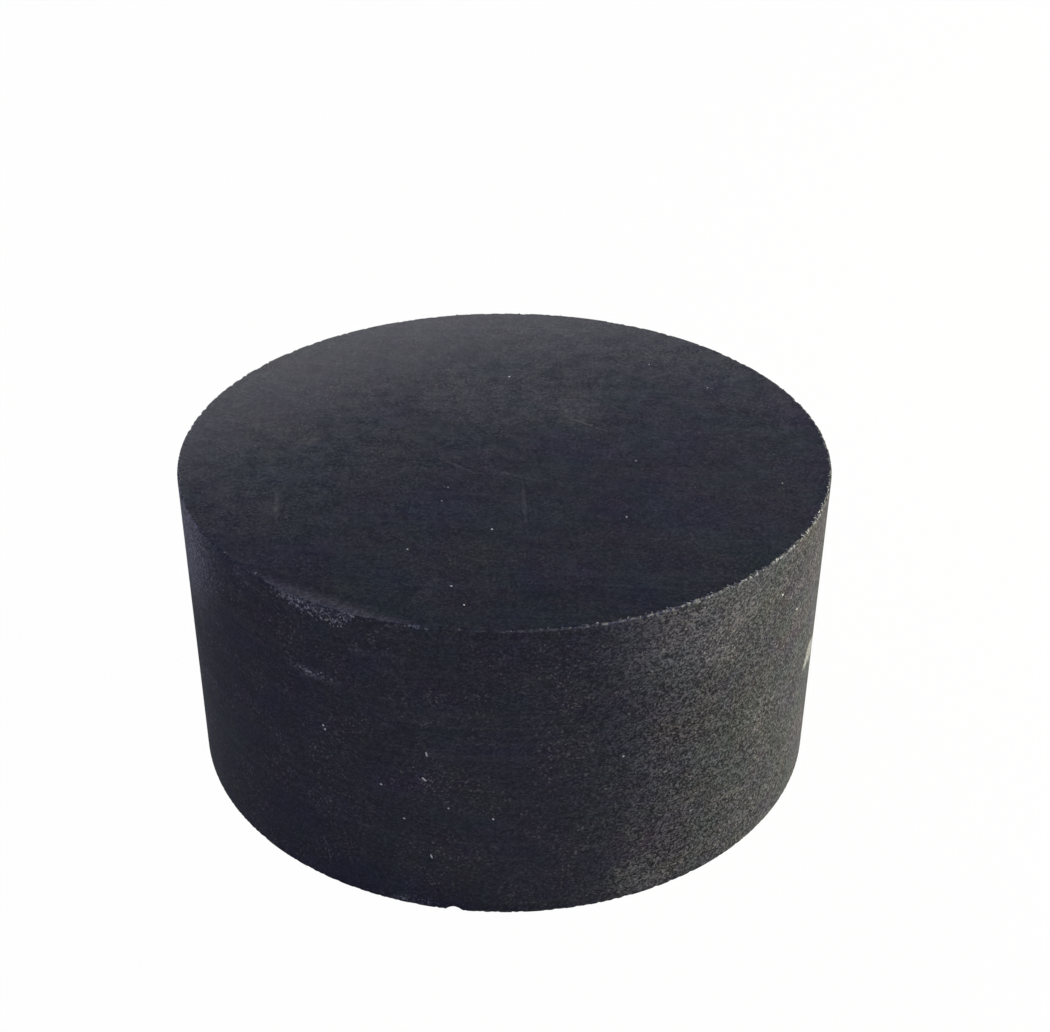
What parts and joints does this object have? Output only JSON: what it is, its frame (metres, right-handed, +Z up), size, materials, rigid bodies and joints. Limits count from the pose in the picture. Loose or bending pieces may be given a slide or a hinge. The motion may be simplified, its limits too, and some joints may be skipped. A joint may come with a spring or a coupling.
{
  "type": "graphite block",
  "caption": "Short solid round of fine-grained graphite with flat end faces and a turned side, worn and chipped at its edges, used as blank stock or as a heat-proof pad.",
  "frame": {"origin": "centre of the lower end face, on the axis of the round", "axes": "+Z up the axis of the round; -Y is the front, the side that the picture shows; +X is to the right seen from the front"},
  "size_m": [0.05, 0.05, 0.025],
  "materials": {
    "graphite": "matt, fine-grained, dark slate grey with pale crushed edges"
  },
  "bodies": {
    "root": {"graphite_block": "graphite"}
  },
  "joints": []
}
